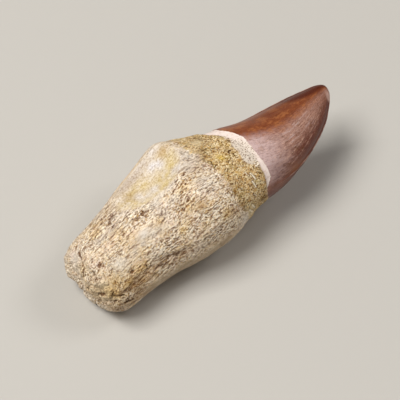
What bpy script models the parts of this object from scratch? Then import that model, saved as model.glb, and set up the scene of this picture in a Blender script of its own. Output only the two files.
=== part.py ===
"""Fossil mosasaur tooth, lying on the worn flat of its root.

Metres, +Z up.  +X runs from the broken end of the root to the tip of the crown.
The origin is on the table, under the middle of the tooth's bounding box.
"""
from collections import namedtuple
from math import cos, pi, radians, sin

import bmesh
import bpy
from mathutils import Euler, Vector

MM = 0.001

# A cross-section of the tooth, in millimetres and degrees.  "along" is counted from the broken end,
# "side" and "up" place its centre, and "roll" turns the width up from level.  The root's sections dip
# 0.7 below the table, and are worn flat to it.
Section = namedtuple("Section", "along side up width height roll")

BREAK_FACE = Section(0.0, -0.2, 9.4, 14.6, 13.2, 0.0)
BREAK_RIM = Section(2.3, -0.1, 9.7, 21.5, 19.4, 0.0)
LOWER_ROOT = Section(9.0, 0.7, 9.5, 22.5, 20.4, 0.0)
WAIST = Section(18.0, 1.7, 10.1, 24.0, 21.6, 0.0)
FLARE = Section(27.0, 1.7, 11.6, 28.2, 24.8, 0.0)
BULGE = Section(35.0, 2.1, 13.4, 33.2, 29.3, 0.0)
SHOULDER = Section(43.0, -0.1, 14.4, 27.2, 24.5, 0.0)
NECK = Section(50.0, -1.3, 15.5, 21.7, 20.6, 8.0)
CROWN_FOOT = Section(57.0, -3.0, 16.4, 20.0, 19.3, 18.0)
CROWN_LOW = Section(64.0, -2.8, 17.3, 17.0, 15.6, 26.0)
CROWN_MIDDLE = Section(70.0, -2.2, 18.2, 13.8, 11.9, 26.0)
CROWN_HIGH = Section(75.6, -1.4, 19.3, 8.8, 7.0, 26.0)
TIP_SHOULDER = Section(79.3, -0.8, 20.1, 4.8, 3.7, 26.0)
TIP = Section(80.6, -1.15, 20.3, 3.3, 2.6, 26.0)

ROOT = (BREAK_FACE, BREAK_RIM, LOWER_ROOT, WAIST, FLARE, BULGE, SHOULDER, NECK)
CROWN = (CROWN_FOOT, CROWN_LOW, CROWN_MIDDLE, CROWN_HIGH, TIP_SHOULDER, TIP)

RING_POINTS = 12            # points of the cage round each section
SUBDIVISIONS = 2

# The resorption pit: a shallow oval dish in the upper side of the root, left by a replacement tooth.
PIT_ALONG = 27.8
PIT_SIDE = 6.8
PIT_UP = 23.0
PIT_LENGTH = 18.6 * MM
PIT_WIDTH = 16.6 * MM
PIT_DISH = 1.2 * MM         # depth below the plane of its rim
PIT_CUTTER_HEIGHT = 6.0 * MM
PIT_FACING = Vector((-0.31, 0.39, 0.87))

FOSSIL_COLOUR = (0.72, 0.58, 0.39, 1.0)
FOSSIL_ROUGHNESS = 0.8


def clear_scene():
    for obj in list(bpy.data.objects):
        bpy.data.objects.remove(obj, do_unlink=True)


def new_collection(name):
    collection = bpy.data.collections.new(name)
    bpy.context.scene.collection.children.link(collection)
    return collection


def move_to(obj, collection):
    for old in list(obj.users_collection):
        old.objects.unlink(obj)
    collection.objects.link(obj)


def fossil_material():
    material = bpy.data.materials.new("fossil")
    material.use_nodes = True
    shader = material.node_tree.nodes["Principled BSDF"]
    shader.inputs["Base Color"].default_value = FOSSIL_COLOUR
    shader.inputs["Roughness"].default_value = FOSSIL_ROUGHNESS
    shader.inputs["Metallic"].default_value = 0.0
    return material


def centre_of(section):
    return Vector((section.along, section.side, section.up)) * MM


def cage_growth():
    """How much wider a cage ring is than the round that Subdivision Surface draws from it."""
    return 3.0 / (2.0 + cos(2.0 * pi / RING_POINTS))


def ring_points(section, before, after):
    """Corners of one cage ring, square to the line from the section before it to the one after."""
    direction = (centre_of(after) - centre_of(before)).normalized()
    across = Vector((0.0, 0.0, 1.0)).cross(direction).normalized()
    above = direction.cross(across)
    half_width = 0.5 * section.width * MM * cage_growth()
    half_height = 0.5 * section.height * MM * cage_growth()
    roll = radians(section.roll)
    points = []
    for step in range(RING_POINTS):
        angle = 2.0 * pi * step / RING_POINTS
        wide = half_width * cos(angle)
        high = half_height * sin(angle)
        sideways = wide * cos(roll) - high * sin(roll)
        upwards = wide * sin(roll) + high * cos(roll)
        points.append(centre_of(section) + across * sideways + above * upwards)
    return points


def tooth_cage(sections):
    """Loft through the unlike sections of root and crown, closed by a flat cap at each end."""
    bm = bmesh.new()
    rings = []
    last = len(sections) - 1
    for index, section in enumerate(sections):
        before = sections[max(index - 1, 0)]
        after = sections[min(index + 1, last)]
        rings.append([bm.verts.new(point) for point in ring_points(section, before, after)])
    for ring, following in zip(rings, rings[1:]):
        for step in range(RING_POINTS):
            turn = (step + 1) % RING_POINTS
            bm.faces.new((ring[step], ring[turn], following[turn], following[step]))
    bm.faces.new(reversed(rings[0]))
    bm.faces.new(rings[-1])
    bmesh.ops.recalc_face_normals(bm, faces=bm.faces)
    mesh = bpy.data.meshes.new("tooth")
    bm.to_mesh(mesh)
    bm.free()
    mesh.shade_smooth()
    return mesh


def add_subdivision(obj):
    modifier = obj.modifiers.new("smooth bone and enamel", "SUBSURF")
    modifier.levels = SUBDIVISIONS
    modifier.render_levels = SUBDIVISIONS


def cut(obj, cutter, name):
    modifier = obj.modifiers.new(name, "BOOLEAN")
    modifier.operation = "DIFFERENCE"
    modifier.solver = "EXACT"
    modifier.object = cutter


def hide_cutter(cutter, name, cutters):
    cutter.name = name
    cutter.hide_render = True
    cutter.display_type = "WIRE"
    move_to(cutter, cutters)


def table_cutter(cutters):
    """A slab whose top is the table, to wear the underside flat."""
    bpy.ops.mesh.primitive_cube_add(size=1.0)
    slab = bpy.context.active_object
    length = 1.5 * TIP.along * MM
    depth = 10.0 * MM
    slab.scale = (length, length, depth)
    slab.location = (0.5 * TIP.along * MM, 0.0, -0.5 * depth)
    hide_cutter(slab, "table_cutter", cutters)
    return slab


def pit_cutter(cutters):
    """An ellipsoid that meets the plane of the pit's rim in an oval of the pit's length and width."""
    rim_height = PIT_CUTTER_HEIGHT - PIT_DISH
    rim_share = (1.0 - (rim_height / PIT_CUTTER_HEIGHT) ** 2) ** 0.5
    facing = PIT_FACING.normalized()
    bpy.ops.mesh.primitive_uv_sphere_add(segments=32, ring_count=24, radius=1.0)
    dish = bpy.context.active_object
    dish.scale = (0.5 * PIT_LENGTH / rim_share, 0.5 * PIT_WIDTH / rim_share, PIT_CUTTER_HEIGHT)
    dish.rotation_euler = Euler((-facing.y, facing.x, 0.0))
    dish.location = Vector((PIT_ALONG, PIT_SIDE, PIT_UP)) * MM + facing * rim_height
    hide_cutter(dish, "pit_cutter", cutters)
    return dish


def lowest_and_highest(obj):
    depsgraph = bpy.context.evaluated_depsgraph_get()
    mesh = obj.evaluated_get(depsgraph).to_mesh()
    corners = [obj.matrix_world @ vertex.co for vertex in mesh.vertices]
    low = Vector([min(corner[axis] for corner in corners) for axis in range(3)])
    high = Vector([max(corner[axis] for corner in corners) for axis in range(3)])
    return low, high


def centre_over_origin(tooth, cutters):
    """Slide the tooth and its cutters level, until the middle of the tooth's box is over the origin."""
    bpy.context.view_layer.update()
    low, high = lowest_and_highest(tooth)
    shift = Vector((-0.5 * (low.x + high.x), -0.5 * (low.y + high.y), 0.0))
    for obj in [tooth] + list(cutters.objects):
        obj.location += shift


def make_tooth(tooth_parts, cutters):
    tooth = bpy.data.objects.new("tooth", tooth_cage(ROOT + CROWN))
    tooth_parts.objects.link(tooth)
    tooth.data.materials.append(fossil_material())
    add_subdivision(tooth)
    cut(tooth, pit_cutter(cutters), "resorption pit")
    cut(tooth, table_cutter(cutters), "flat to rest on")
    return tooth


def main():
    clear_scene()
    tooth_parts = new_collection("fossil mosasaur tooth")
    cutters = new_collection("cutters")
    tooth = make_tooth(tooth_parts, cutters)
    centre_over_origin(tooth, cutters)


main()
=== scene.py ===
# Fossil mosasaur tooth lying on a pale table: its skin, relief, sand crust, finish and light.
import math

import bpy
import numpy as np
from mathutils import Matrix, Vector


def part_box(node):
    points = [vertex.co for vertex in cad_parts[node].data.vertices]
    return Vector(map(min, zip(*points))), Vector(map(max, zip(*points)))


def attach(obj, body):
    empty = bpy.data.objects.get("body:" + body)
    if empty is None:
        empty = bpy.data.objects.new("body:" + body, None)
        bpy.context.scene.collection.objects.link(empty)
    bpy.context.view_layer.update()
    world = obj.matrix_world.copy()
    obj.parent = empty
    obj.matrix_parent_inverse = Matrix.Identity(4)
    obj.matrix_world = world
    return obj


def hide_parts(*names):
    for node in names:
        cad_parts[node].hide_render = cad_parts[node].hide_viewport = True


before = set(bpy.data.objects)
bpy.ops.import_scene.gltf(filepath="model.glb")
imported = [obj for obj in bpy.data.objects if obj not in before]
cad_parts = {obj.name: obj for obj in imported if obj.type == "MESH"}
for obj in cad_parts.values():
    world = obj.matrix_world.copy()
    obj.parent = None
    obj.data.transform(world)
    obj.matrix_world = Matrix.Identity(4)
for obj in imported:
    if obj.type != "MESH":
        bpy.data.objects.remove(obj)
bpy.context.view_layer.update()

mm = 0.001
print("frame loaded:", ", ".join(sorted(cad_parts)))


# Helpers for node trees. They add to the tree that was opened last, and take a value as a number, a vector,
# a colour or the socket of another node.
opened = {"tree": None}


def join(value, socket):
    if isinstance(value, bpy.types.NodeSocket):
        opened["tree"].links.new(value, socket)
    else:
        socket.default_value = value


def newNode(kind, given=(), **options):
    # a node with its options set, then its inputs, which are given in order or by name
    node = opened["tree"].nodes.new(kind)
    for option, value in options.items():
        setattr(node, option, value)
    for key, value in given.items() if isinstance(given, dict) else enumerate(given):
        join(value, node.inputs[key])
    return node


def calc(operation, *values):
    return newNode("ShaderNodeMath", values, operation=operation).outputs[0]


def total(*values):
    result = values[0]
    for value in values[1:]:
        result = calc("ADD", result, value)
    return result


def product(*values):
    result = values[0]
    for value in values[1:]:
        result = calc("MULTIPLY", result, value)
    return result


def inverse(value):
    return calc("SUBTRACT", 1.0, value)


def centred(value, middle=0.5):
    # noise runs either side of 0.5, and this puts its middle at 0
    return calc("SUBTRACT", value, middle)


def fade(value, start, end, low=0.0, high=1.0):
    # runs softly from low at start to high at end, and stays level outside them
    return newNode("ShaderNodeMapRange", (value, start, end, low, high),
                   interpolation_type="SMOOTHSTEP").outputs[0]


def vectorCalc(operation, *values):
    return newNode("ShaderNodeVectorMath", values, operation=operation).outputs["Vector"]


def scaled(vector, factor):
    return newNode("ShaderNodeVectorMath", {0: vector, "Scale": factor}, operation="SCALE").outputs[0]


def axes(vector):
    return newNode("ShaderNodeSeparateXYZ", (vector,)).outputs


def placed(place, lengthwise, shift):
    # the same pattern place, squeezed along the tooth and moved to another part of the noise
    return vectorCalc("ADD", vectorCalc("MULTIPLY", place, (lengthwise, 1.0, 1.0)), shift)


def noise(place, scale, detail=2.0, roughness=0.5, distortion=0.0, output="Fac"):
    given = {"Vector": place, "Scale": scale, "Detail": detail, "Roughness": roughness,
             "Distortion": distortion}
    return newNode("ShaderNodeTexNoise", given).outputs[output]


def cells(place, scale):
    # "Distance" to the middle of the nearest cell, and a "Color" that each cell keeps
    return newNode("ShaderNodeTexVoronoi", {"Vector": place, "Scale": scale}).outputs


def spots(distance, size, blur):
    return fade(distance, calc("ADD", size, blur), calc("SUBTRACT", size, blur))


def attribute(name, kind="FLOAT"):
    if opened["tree"].bl_idname == "GeometryNodeTree":
        node = newNode("GeometryNodeInputNamedAttribute", {"Name": name}, data_type=kind)
        return node.outputs["Attribute"]
    node = newNode("ShaderNodeAttribute", attribute_name=name)
    return node.outputs["Vector" if kind == "FLOAT_VECTOR" else "Fac"]


def mark(name, share=1.0):
    return product(attribute(name + "Mark"), share)


def hexColour(code):
    # a screen colour such as "c9a97c" as the linear colour that shaders use
    channels = [int(code[place:place + 2], 16) / 255 for place in (0, 2, 4)]
    linear = [c / 12.92 if c <= 0.04045 else ((c + 0.055) / 1.055) ** 2.4 for c in channels]
    return (*linear, 1.0)


def tint(factor, first, second, blend="MIX"):
    return newNode("ShaderNodeMix", {0: factor, 6: first, 7: second},
                   data_type="RGBA", blend_type=blend).outputs[2]


soakingTones = ("soak", "dim", "hollow", "pore", "gilt")  # these darken what they lie on


def layered(tones, colour, layers):
    # starts from a colour or one of the tones, then lays on each row's tone where all its masks are
    if isinstance(colour, str):
        colour = hexColour(tones[colour])
    for tone, *masks in layers:
        blend = "MULTIPLY" if tone in soakingTones else "MIX"
        colour = tint(product(*masks), colour, hexColour(tones[tone]), blend)
    return colour


def newMaterial(name, roughness):
    material = bpy.data.materials.new(name)
    material.use_nodes = True
    opened["tree"] = material.node_tree
    shader = material.node_tree.nodes["Principled BSDF"]
    shader.inputs["Roughness"].default_value = roughness
    shader.inputs["Specular IOR Level"].default_value = 0.28
    return material, shader


def addBump(shader, height, depth):
    bump = newNode("ShaderNodeBump", {"Strength": 1.0, "Distance": depth, "Height": height})
    join(bump.outputs[0], shader.inputs["Normal"])


def linkedObject(name, data):
    thing = bpy.data.objects.new(name, data)
    bpy.context.scene.collection.objects.link(thing)
    return thing


# The tooth is a loft over oval sections, in mm, the same ones that the solid is built from.
# Places on it are given as mm along it and degrees round it, from the far side over the top.
toothForm = {
    "sections": [  # along, side, up, width, height in mm, and roll in degrees
        (0.0, -0.2, 9.4, 14.6, 13.2, 0.0),  # broken face
        (2.3, -0.1, 9.7, 21.5, 19.4, 0.0),  # its rim
        (9.0, 0.7, 9.5, 22.5, 20.4, 0.0),  # lower root
        (18.0, 1.7, 10.1, 24.0, 21.6, 0.0),  # waist
        (27.0, 1.7, 11.6, 28.2, 24.8, 0.0),  # flare
        (35.0, 2.1, 13.4, 33.2, 29.3, 0.0),  # bulge
        (43.0, -0.1, 14.4, 27.2, 24.5, 0.0),  # shoulder
        (50.0, -1.3, 15.5, 21.7, 20.6, 8.0),  # neck
        (57.0, -3.0, 16.4, 20.0, 19.3, 18.0),  # foot of the crown
        (64.0, -2.8, 17.3, 17.0, 15.6, 26.0),
        (70.0, -2.2, 18.2, 13.8, 11.9, 26.0),
        (75.6, -1.4, 19.3, 8.8, 7.0, 26.0),
        (79.3, -0.8, 20.1, 4.8, 3.7, 26.0),  # shoulder of the tip
        (80.6, -1.15, 20.3, 3.3, 2.6, 26.0),  # tip
    ],
    "poleWidth": 0.2,  # the small ring that each end closes on
    "rings": 300,
    "ringPoints": 330,
    "rootStep": 0.27,  # distance between rings on the root, and on the crown
    "crownStep": 0.52,
    "crownStart": 53.0,
    "crownEnd": 81,
    # lines round the neck, as degrees and mm along
    "enamelEdge": [(5, 48.8), (45, 49.9), (65, 52.3), (76, 53.1), (87, 53.0), (111, 53.3), (128, 53.6),
                   (140, 53.5), (150, 52.7), (161, 51.7), (190, 51.8), (235, 51.4), (275, 50.6), (320, 49.6)],
    "collarFoot": [(10, 45.6), (46, 46.2), (60, 48.9), (79, 50.6), (95, 51.6), (112, 52.3), (128, 52.35),
                   (140, 52.15), (150, 52), (158, 51.8), (190, 52.2), (235, 50.6), (275, 49.2), (320, 47)],
    "crustTop": [(10, 45.4), (48, 46.6), (60, 48.6), (77, 49.8), (95, 49.9), (112, 50.3), (122, 52.3),
                 (148, 52.4), (160, 51.6), (190, 51.6), (235, 50.4), (275, 48.8), (320, 46.8)],
    "crustFoot": [(8, 38.2), (54, 39.0), (87, 40.4), (105, 41.8), (125, 43.2), (156, 43.8), (178, 44.9),
                  (230, 44.6), (280, 42.4), (330, 39.6)],
    "crustRise": 0.28,  # how far the crust stands up, and how far the collar sinks below the enamel
    "collarSink": 0.18,
    "dish": {"along": 27.8, "side": 6.8, "up": 23.0, "length": 18.0, "width": 16.0, "depth": 1.2,
             "facing": (-0.31, 0.39, 0.87), "softness": 0.35, "reach": 6},
    "groove": {"line": [(0, 162), (9, 151), (14, 153), (18, 156), (27, 163)],
               "halfWidth": 1.3, "depth": 0.22},
    "farGroove": {"line": [(0, 300), (16, 318), (30, 306), (44, 300)], "halfWidth": 1.8},
    # single places: along, around, length, width and strength
    "ridge": {"place": (17.5, 110, 4.6, 1.5, 1.0), "height": 0.35},
    "chip": {"place": (2.0, 49, 3.0, 3.6, 1.0), "depth": 0.22},
    "dishShore": [(28, 34, 8.0, 3.6, 0.8), (35.5, 45, 3.0, 5.0, 0.5)],
    "carina": {"height": 0.22, "halfWidth": 0.45, "around": (0, 160)},
    "facets": {"count": 13, "depth": 0.03},
    "endWear": 0.4,  # how far the broken end has worn back
    "trim": [  # along, then what is added on the far side and on the near side, in mm
        (0, -0.6, -0.2), (3, -0.6, -0.2), (6, -0.2, 0.1), (12, -0.3, 0.05), (19, -0.3, 0.1), (22, 0, 0.15),
        (25, -0.15, 0.35), (29, -0.6, 0.25), (32, -0.5, -0.1), (34, 0, -0.2), (36.5, 0.55, -0.1),
        (38, -0.1, 0.1), (40, -0.7, 0.2), (42, -0.7, 0.3), (45, -0.6, 0.1), (48, -0.3, -0.5), (50, 0, -0.5),
        (53, -0.2, 0), (57, -0.4, -0.1), (60, -0.6, -0.2), (64, -0.5, -0.1), (69, -0.5, 0), (74, -0.3, 0.3),
        (77, -0.25, 0.1), (78.6, -0.1, 0.1), (80, 0, 0), (81, 0, 0),
    ],
    # degrees of the far side and the near side, which is read on the root and on the crown
    "farSide": 32,
    "nearSide": (203, 170),
    "trimSpread": 70,  # how many degrees a trim fades out over
}


def splineRows(controls, places):
    # uniform cubic B-spline over the control rows, starting and ending on the first and the last
    padded = np.vstack([2 * controls[0] - controls[1], controls, 2 * controls[-1] - controls[-2]])
    row = np.minimum(places.astype(int), len(controls) - 2)
    t = (places - row)[:, None]
    weights = ((1 - t) ** 3, 3 * t ** 3 - 6 * t ** 2 + 4, 1 + 3 * t + 3 * t ** 2 - 3 * t ** 3, t ** 3)
    return sum(weight * padded[row + step] for step, weight in enumerate(weights)) / 6


def controlRows(form):
    # centre, half width, half height, roll and direction of each section, closed by a small ring at each end
    table = np.array(form["sections"], float)
    centres = table[:, :3]
    direction = np.vstack([centres[1:], centres[-1:]]) - np.vstack([centres[:1], centres[:-1]])
    direction /= np.linalg.norm(direction, axis=1)[:, None]
    rows = np.hstack([centres, table[:, 3:5] / 2, table[:, 5:], direction])
    closedStart = rows[0].copy()
    closedEnd = rows[-1].copy()
    for closed in (closedStart, closedEnd):
        closed[3:5] = form["poleWidth"] / 2
    closedEnd[0] += form["poleWidth"]
    return np.vstack([closedStart, rows, closedEnd])


def ringsAt(rows, around):
    # points of the oval rings, and their offsets from the tooth's middle line
    centres, halfWidth, halfHeight = rows[:, :3], rows[:, 3:4], rows[:, 4:5]
    roll = np.radians(rows[:, 5:6])
    direction = rows[:, 6:9] / np.linalg.norm(rows[:, 6:9], axis=1)[:, None]
    across = np.stack([-direction[:, 1], direction[:, 0], np.zeros(len(rows))], 1)
    across /= np.linalg.norm(across, axis=1)[:, None]
    above = np.cross(direction, across)
    wide = halfWidth * np.cos(around)
    high = halfHeight * np.sin(around)
    offsetAcross = wide * np.cos(roll) - high * np.sin(roll)
    offsetAbove = wide * np.sin(roll) + high * np.cos(roll)
    points = (centres[:, None] + offsetAcross[..., None] * across[:, None]
              + offsetAbove[..., None] * above[:, None])
    return points, offsetAcross, offsetAbove


def evenPlaces(form, controls):
    # ring places along the spline, closer together on the root than on the smooth crown
    dense = np.linspace(0, len(controls) - 1, 3000)
    rows = splineRows(controls, dense)
    points = ringsAt(rows, np.radians(np.arange(0, 360, 30.0)))[0]
    steps = np.linalg.norm(np.diff(points, axis=0), axis=2).mean(1)
    wanted = np.where(rows[1:, 0] < form["crownStart"], form["rootStep"], form["crownStep"])
    travelled = np.concatenate([[0], np.cumsum(steps / wanted)])
    return np.interp(np.linspace(0, travelled[-1], form["rings"]), travelled, dense)


def closedCurve(knots, around):
    # smooth closed line through (degrees, mm) knots, read at the angles asked for
    angles, values = np.array(knots, float).T
    spans = np.diff(np.append(angles, angles[0] + 360))
    slopes = np.diff(np.append(values, values[0])) / spans
    slopes = (slopes + np.roll(slopes, 1)) / 2
    wrapped = (around - angles[0]) % 360 + angles[0]
    first = np.searchsorted(angles, wrapped, side="right") - 1
    second = (first + 1) % len(angles)
    t = (wrapped - angles[first]) / spans[first]
    return (values[first] * (2 * t ** 3 - 3 * t ** 2 + 1) + values[second] * (3 * t ** 2 - 2 * t ** 3)
            + spans[first] * (slopes[first] * (t ** 3 - 2 * t ** 2 + t) + slopes[second] * (t ** 3 - t ** 2)))


def softStep(value, start, end):
    t = np.clip((value - start) / (end - start), 0, 1)
    return t * t * (3 - 2 * t)


def turned(angles):
    # degrees folded into -180 to 180
    return (angles + 180) % 360 - 180


# What stands out on the surface. Each row is mm along, degrees around, length and width in mm, strength.
surfaceMarks = {
    "ochre": [
        (59.8, 152, 2.6, 1.6, 0.8), (55.6, 163, 2.6, 1.6, 0.5), (51.8, 160, 1.4, 2, 0.6),
        (39.4, 154, 2, 1.4, 0.9), (33.2, 107, 2.4, 1.2, 0.7), (32, 122, 2.4, 1.4, 0.5),
        (33.6, 128, 1.6, 1.2, 0.5), (35.7, 134, 1.6, 1.2, 0.4), (28.4, 135, 1.4, 1, 0.5),
        (32.4, 147, 1.6, 1.2, 0.4), (26.2, 137, 1.2, 0.9, 1), (23, 114, 1.4, 1, 0.5),
        (9.8, 65, 2, 1.4, 0.7), (3.6, 134, 2.4, 2.6, 0.8), (2, 146, 2.6, 4.2, 1), (6.6, 148, 2.6, 2, 1),
        (11, 143, 3, 1.6, 0.9), (9.5, 160, 4, 2.4, 0.5), (1, 168, 2, 3, 0.4), (0.6, 80, 1.5, 2, 0.5),
        (14, 128, 2, 1.6, 0.5), (35.7, 55, 1.6, 1.4, 0.9), (25.5, 76, 0.5, 0.4, 0.9),
        (22.3, 75, 0.4, 0.4, 0.8), (13, 85, 2, 1, 0.5), (31, 125, 2, 1.2, 0.4), (44.2, 146, 1.4, 1.2, 0.5),
        (44.2, 250, 3, 2, 0.6), (20, 260, 4, 2.5, 0.7), (8, 330, 3, 3, 0.7), (30, 340, 3, 2, 0.6),
    ],
    "yellow": [
        (7.5, 125, 2.6, 2.2, 0.5), (45, 96, 0.9, 0.9, 1), (24.2, 60, 2.2, 1.2, 1),
        (26.4, 54, 1.6, 1.2, 0.7), (27.4, 64, 1.6, 1, 0.8), (21.4, 66, 1.5, 1.8, 0.9),
        (22, 75, 1.5, 1.4, 0.9), (24.4, 84, 1.6, 1, 0.5), (30.2, 77, 2.4, 1.2, 0.9),
        (31.8, 80, 2.2, 1.4, 0.9), (34.4, 75, 2, 1.8, 1), (35.3, 66, 1.3, 2, 0.6),
        (30.6, 89, 2.4, 1.2, 0.9),
    ],
    # pale patches; the two at 44 mm along and 182 to 184 degrees round are painted light on the lower edge of
    # the neck
    "pale": [
        (15.5, 74, 2.5, 1.8, 0.6), (37, 92, 2, 2, 1), (12.8, 81, 2.4, 1.2, 0.8), (28.1, 79, 1.5, 1.2, 0.6),
        (44.2, 182, 1.6, 1.6, 1), (1.8, 54, 1.8, 1.8, 0.9), (26, 80, 2, 1.3, 0.4),
        (24.4, 71, 1.2, 1.8, 0.5), (34.4, 84, 1.4, 1, 0.6), (29.2, 108, 2.4, 1, 0.9),
        (25.6, 112, 1.6, 1, 0.7), (10.2, 78, 2, 1.2, 0.8), (14.2, 77, 1.4, 0.9, 0.5),
        (16, 141, 1.6, 1.2, 0.6), (0.2, 158, 1.2, 2, 0.9), (1.4, 129, 1.2, 1.6, 0.9),
        (16.7, 89, 1.6, 1.2, 0.5), (12.9, 121, 1.6, 1.4, 0.7), (15, 41, 2, 3, 0.6),
        (25.3, 98, 1.8, 1.2, 0.9), (0.6, 58, 1.4, 1.6, 1), (1, 128, 1.4, 2, 0.5), (8.4, 78, 2, 1, 0.8),
        (38, 94, 1.4, 1.6, 0.5), (17.6, 113, 3, 1.2, 1), (15.8, 121, 1.6, 1, 0.9), (19.6, 119, 2, 1, 0.8),
        (36.2, 90, 1.8, 1.6, 0.9), (21.6, 121, 2.6, 0.8, 0.6), (42.4, 66, 1.4, 1.6, 0.8),
        (24.6, 104, 3, 1.4, 0.5), (31.2, 97, 1.6, 0.8, 0.6), (27.6, 166, 3, 1.6, 0.4),
        (7.2, 119, 2.4, 1.9, 1), (44, 184, 3, 3, 1), (46.6, 170, 0.7, 0.7, 0.9), (31.8, 56, 1.4, 1.8, 0.8),
        (33, 62, 1.3, 2, 0.7), (27, 43, 7, 2.2, 0.6), (34.5, 42, 3, 2.6, 0.6), (39.1, 84, 2, 3.4, 0.9),
        (38.5, 113, 2.4, 2.6, 0.7), (2.2, 66, 1.2, 1, 0.8), (26, 96, 3.6, 0.9, 0.8), (35.5, 35, 3, 3, 0.8),
        (34, 240, 5, 4, 0.7), (12, 290, 4, 2, 0.7),
    ],
    "pink": [
        (0.9, 118, 1.8, 2.6, 0.6), (3, 98, 2, 2, 0.4), (37.2, 94, 2, 1.6, 0.8), (36, 118, 4, 3, 0.6),
        (27, 112, 4, 2.6, 0.6), (2.2, 52, 2, 3.2, 1), (18.6, 74, 2.2, 1.8, 0.7), (33, 108, 4, 1.6, 0.5),
        (14, 75, 3, 2, 0.4), (4, 250, 2.5, 3, 0.7), (79.3, 138, 1.2, 1.5, 1),
    ],
    "calm": [
        (4.6, 96, 3, 3, 0.8), (3, 116, 2.5, 2.5, 0.7), (26, 101, 2.5, 1.4, 0.7), (37, 93, 2, 2, 0.9),
        (13, 80, 2.5, 1.5, 0.5), (1.8, 54, 2, 2, 0.9), (0.6, 160, 1.6, 1.6, 0.5), (9.3, 77, 3, 1.2, 0.6),
        (14.5, 56, 3, 1.4, 0.5), (22.6, 121, 4, 1.3, 0.9), (3, 152, 2.5, 2.6, 0.9),
        (13.5, 137, 2.4, 1.6, 0.9), (12.6, 120, 2.4, 1.6, 0.8), (1, 138, 1.4, 2.2, 0.8),
        (44.3, 182, 2, 2, 0.8), (8, 124, 3.2, 3, 1), (11.5, 122, 3, 3.4, 1), (7, 92, 3.4, 2.6, 0.8),
        (3.6, 104, 1.6, 1.8, 0.5), (17, 114, 3.4, 2.2, 1), (27, 99, 4, 1, 0.6), (22.5, 118, 3, 2, 0.5),
        (11, 112, 3, 2, 0.5), (40, 108, 2, 5, 0.3), (33, 250, 5, 5, 0.8), (12, 290, 4, 4, 0.6),
    ],
    "harsh": [
        (4.6, 48, 1.4, 1.6, 0.5), (15.5, 52, 3, 2.5, 0.6), (0.4, 165, 1.6, 3, 0.6), (5.6, 178, 2.4, 2, 0.8),
        (40.8, 66, 2.6, 2, 0.5), (16.3, 66, 4.5, 3, 0.4), (6, 150, 5, 2.4, 0.6), (3.2, 60, 1.6, 2.4, 0.7),
        (2, 170, 2.4, 4, 0.6), (22, 93, 3, 1.6, 0.7), (36, 104, 3, 1.2, 0.4), (29, 104, 3, 1, 0.5),
        (38, 145, 2.6, 2.6, 0.4), (18, 240, 5, 3, 0.7), (6, 320, 3, 4, 0.8),
    ],
    "furrowed": [
        (13, 70, 8, 6, 0.8), (18, 158, 10, 2.4, 0.9), (30, 166, 9, 2.4, 0.8), (24, 105, 8, 3, 0.5),
        (16, 320, 12, 6, 0.9), (22, 225, 14, 5, 0.8),
    ],
    "shade": [
        (34.2, 131, 1.2, 1.2, 0.6), (13.4, 161, 1.4, 1.2, 0.5), (26, 46, 5, 1.6, 0.5),
        (35.7, 55, 1.4, 1.4, 0.3), (14.5, 155, 6, 1.3, 0.5), (43.4, 158, 1.5, 1.5, 0.5),
        (16.3, 52, 4, 4, 0.3), (6, 179, 4, 1.8, 0.7), (9.5, 186, 3, 1.4, 0.6), (30, 117, 1.8, 1.6, 0.4),
        (22.3, 164, 4, 1.2, 0.6), (41.3, 89, 1.6, 2.2, 0.5), (44, 130, 1.6, 2, 0.4), (9, 158, 3, 1.6, 0.5),
        (8, 168, 2, 1.4, 0.6), (1.8, 188, 2.4, 1.6, 0.5), (22.3, 131, 1.6, 1.2, 0.5),
        (22.6, 61, 2.2, 1.8, 0.4), (13.3, 111, 2, 1.6, 0.3), (43, 62, 2, 3.5, 0.5), (38, 98, 3, 3, 0.3),
    ],
    "porous": [
        (51.4, 94, 1.7, 3.8, 1), (50.4, 84, 1.4, 2.4, 0.8), (50.8, 106, 1.2, 2, 0.8),
    ],
    "brown": [
        (55.8, 131, 2.6, 1.6, 0.6), (57.3, 160, 2.2, 1.4, 0.35), (78.6, 114, 1.2, 1.5, 0.3),
        (78.4, 68, 1.2, 1.4, 0.6), (65.4, 42, 5, 1.6, 0.6), (1.7, 151, 0.8, 0.8, 1),
        (7.5, 142, 1.6, 1, 0.6), (39.6, 155, 1.6, 0.9, 0.5), (18.6, 70, 0.8, 0.6, 0.9),
        (50.3, 173, 1.2, 1.4, 0.9), (47.5, 90, 0.8, 1, 0.7), (6.4, 149, 1, 1.2, 0.3),
        (3.4, 118, 0.7, 0.9, 0.4), (7.8, 139, 1, 0.8, 0.6), (12.9, 149, 3, 0.8, 0.25),
        (41.9, 81, 1.6, 0.8, 0.5), (15, 235, 3, 1, 0.6),
    ],
}

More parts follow.
